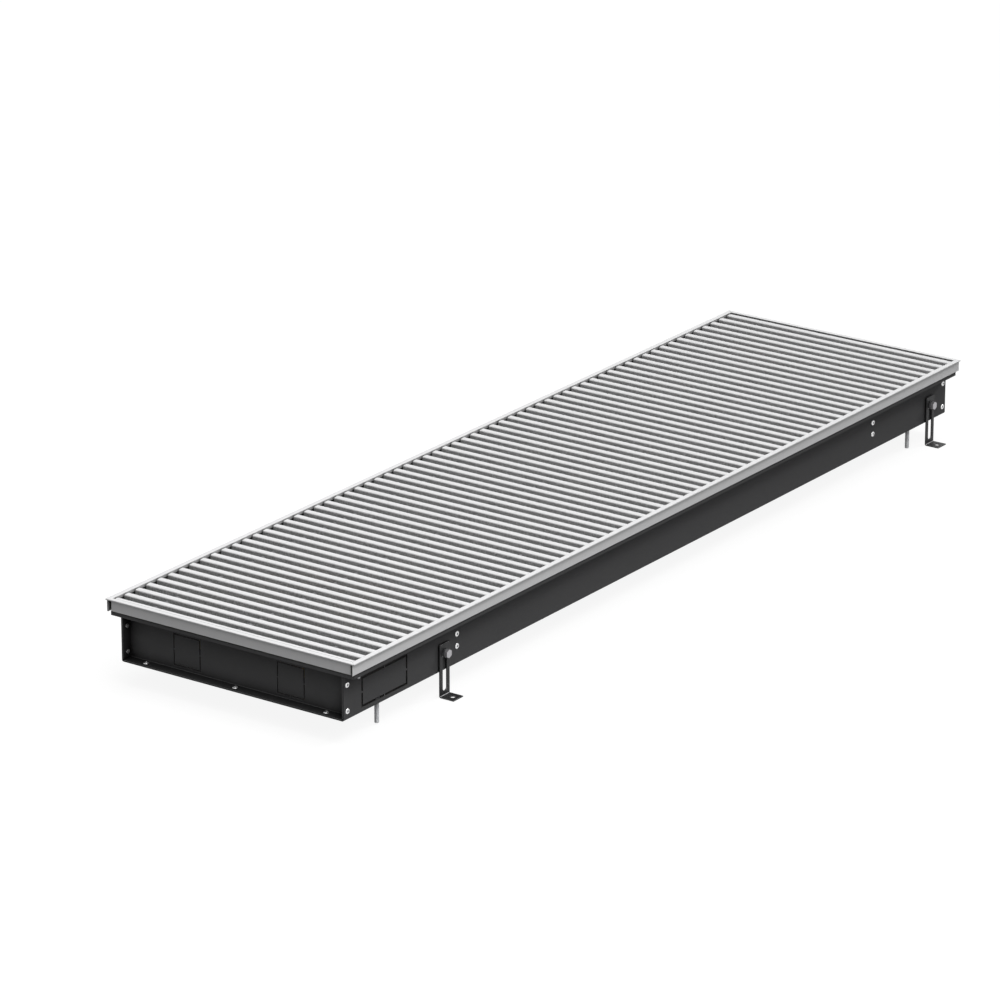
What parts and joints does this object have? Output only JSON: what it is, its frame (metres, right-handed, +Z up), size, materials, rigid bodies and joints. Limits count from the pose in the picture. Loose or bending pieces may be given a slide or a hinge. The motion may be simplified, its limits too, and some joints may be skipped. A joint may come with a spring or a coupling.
{
  "type": "trench convector heater",
  "caption": "Floor trench convector: black steel trough with finned water coil, lift-off grille of aluminium cross slats in a frame, slotted feet and levelling screws.",
  "frame": {"origin": "under the middle of the heater, on the slab that its feet stand on", "axes": "+X along the heater, away from the water connections; +Z up; -Y to the front"},
  "size_m": [1.4, 0.3888, 0.112],
  "materials": {
    "slats": "satin anodised aluminium",
    "frame": "satin anodised aluminium",
    "mill_aluminium": "plain extruded",
    "fins": "rolled aluminium sheet",
    "stainless": "drawn stainless steel",
    "sleeve_plastic": "moulded plastic",
    "damping_rubber": "matt rubber",
    "key_metal": "dark die-cast metal",
    "casing_coat": "black powder coat",
    "end_plate_coat": "black powder coat",
    "bracket_coat": "black powder coat",
    "foot_coat": "dark grey powder coat",
    "zinc": "bright zinc plate",
    "bolt_steel": "zinc plate",
    "rivet_metal": "bare aluminium",
    "copper": "drawn copper",
    "brass": "turned brass",
    "nickel": "nickel plate"
  },
  "bodies": {
    "heater_body": {"frame_front": "frame", "frame_back": "frame", "frame_near_end": "frame", "frame_far_end": "frame", "seat_rail_front": "mill_aluminium", "seat_rail_back": "mill_aluminium", "seat_rail_near": "mill_aluminium", "seat_rail_far": "mill_aluminium", "heat_exchanger_fins": "fins", "damping_strip_front": "damping_rubber", "damping_strip_back": "damping_rubber", "damping_strip_near": "damping_rubber", "damping_strip_far": "damping_rubber", "corner_keys": "key_metal", "casing": "casing_coat", "end_plate_near": "end_plate_coat", "end_plate_far": "end_plate_coat", "bracket_near": "bracket_coat", "bracket_far": "bracket_coat", "rail_screws": "zinc", "rail_screw_nuts": "zinc", "wall_rivet_nuts": "zinc", "floor_rivet_nuts": "zinc", "earth_nut": "zinc", "earth_screw": "zinc", "end_plate_rivets": "rivet_metal", "bracket_rivets": "rivet_metal", "tube_outer_front": "copper", "tube_inner_front": "copper", "tube_inner_back": "copper", "tube_outer_back": "copper", "return_bend_front": "copper", "return_bend_back": "copper", "return_bend_near": "copper", "flow_connection": "brass", "return_connection": "brass"},
    "grille": {"grille_slats": "slats", "grille_end_bar": "slats", "grille_rods": "stainless", "rod_nuts": "stainless", "rod_sleeves": "sleeve_plastic"},
    "foot_near_front": {"foot_near_front": "foot_coat"},
    "foot_near_back": {"foot_near_back": "foot_coat"},
    "foot_far_front": {"foot_far_front": "foot_coat"},
    "foot_far_back": {"foot_far_back": "foot_coat"},
    "levelling_screw_near_front": {"levelling_screw_near_front": "zinc"},
    "levelling_screw_near_back": {"levelling_screw_near_back": "zinc"},
    "levelling_screw_far_front": {"levelling_screw_far_front": "zinc"},
    "levelling_screw_far_back": {"levelling_screw_far_back": "zinc"},
    "foot_bolt_near_front": {"foot_bolt_near_front": "bolt_steel"},
    "foot_bolt_near_back": {"foot_bolt_near_back": "bolt_steel"},
    "foot_bolt_far_front": {"foot_bolt_far_front": "bolt_steel"},
    "foot_bolt_far_back": {"foot_bolt_far_back": "bolt_steel"},
    "lock_nut_near_front": {"lock_nut_near_front": "bolt_steel"},
    "lock_nut_near_back": {"lock_nut_near_back": "bolt_steel"},
    "lock_nut_far_front": {"lock_nut_far_front": "bolt_steel"},
    "lock_nut_far_back": {"lock_nut_far_back": "bolt_steel"},
    "vent_screw": {"vent_screw": "nickel"}
  },
  "joints": [
    {"name": "grille_lift", "type": "slide", "parent": "heater_body", "child": "grille", "axis": [0, 0, 1], "range_m": [0, 0.15]},
    {"name": "foot_slide_near_front", "type": "slide", "parent": "heater_body", "child": "foot_near_front", "axis": [0, 0, 1], "range_m": [0, 0.022]},
    {"name": "foot_bolt_turn_near_front", "type": "hinge", "parent": "heater_body", "child": "foot_bolt_near_front", "pos_m": [-0.492, -0.174, 0.057], "axis": [0, -1, 0], "range_deg": [0, 360]},
    {"name": "lock_nut_turn_near_front", "type": "hinge", "parent": "heater_body", "child": "lock_nut_near_front", "pos_m": [-0.492, -0.174, 0.057], "axis": [0, -1, 0], "range_deg": [0, 360]},
    {"name": "levelling_travel_near_front", "type": "slide", "parent": "heater_body", "child": "levelling_screw_near_front", "axis": [0, 0, 1], "range_m": [-0.012, 0.022]},
    {"name": "foot_slide_near_back", "type": "slide", "parent": "heater_body", "child": "foot_near_back", "axis": [0, 0, 1], "range_m": [0, 0.022]},
    {"name": "foot_bolt_turn_near_back", "type": "hinge", "parent": "heater_body", "child": "foot_bolt_near_back", "pos_m": [-0.492, 0.174, 0.057], "axis": [0, 1, 0], "range_deg": [0, 360]},
    {"name": "lock_nut_turn_near_back", "type": "hinge", "parent": "heater_body", "child": "lock_nut_near_back", "pos_m": [-0.492, 0.174, 0.057], "axis": [0, 1, 0], "range_deg": [0, 360]},
    {"name": "levelling_travel_near_back", "type": "slide", "parent": "heater_body", "child": "levelling_screw_near_back", "axis": [0, 0, 1], "range_m": [-0.012, 0.022]},
    {"name": "foot_slide_far_front", "type": "slide", "parent": "heater_body", "child": "foot_far_front", "axis": [0, 0, 1], "range_m": [0, 0.022]},
    {"name": "foot_bolt_turn_far_front", "type": "hinge", "parent": "heater_body", "child": "foot_bolt_far_front", "pos_m": [0.651, -0.174, 0.057], "axis": [0, -1, 0], "range_deg": [0, 360]},
    {"name": "lock_nut_turn_far_front", "type": "hinge", "parent": "heater_body", "child": "lock_nut_far_front", "pos_m": [0.651, -0.174, 0.057], "axis": [0, -1, 0], "range_deg": [0, 360]},
    {"name": "levelling_travel_far_front", "type": "slide", "parent": "heater_body", "child": "levelling_screw_far_front", "axis": [0, 0, 1], "range_m": [-0.012, 0.022]},
    {"name": "foot_slide_far_back", "type": "slide", "parent": "heater_body", "child": "foot_far_back", "axis": [0, 0, 1], "range_m": [0, 0.022]},
    {"name": "foot_bolt_turn_far_back", "type": "hinge", "parent": "heater_body", "child": "foot_bolt_far_back", "pos_m": [0.651, 0.174, 0.057], "axis": [0, 1, 0], "range_deg": [0, 360]},
    {"name": "lock_nut_turn_far_back", "type": "hinge", "parent": "heater_body", "child": "lock_nut_far_back", "pos_m": [0.651, 0.174, 0.057], "axis": [0, 1, 0], "range_deg": [0, 360]},
    {"name": "levelling_travel_far_back", "type": "slide", "parent": "heater_body", "child": "levelling_screw_far_back", "axis": [0, 0, 1], "range_m": [-0.012, 0.022]},
    {"name": "vent_turn", "type": "hinge", "parent": "heater_body", "child": "vent_screw", "pos_m": [-0.619, 0.08, 0.0797], "axis": [0, 0, 1], "range_deg": [0, 540]}
  ]
}
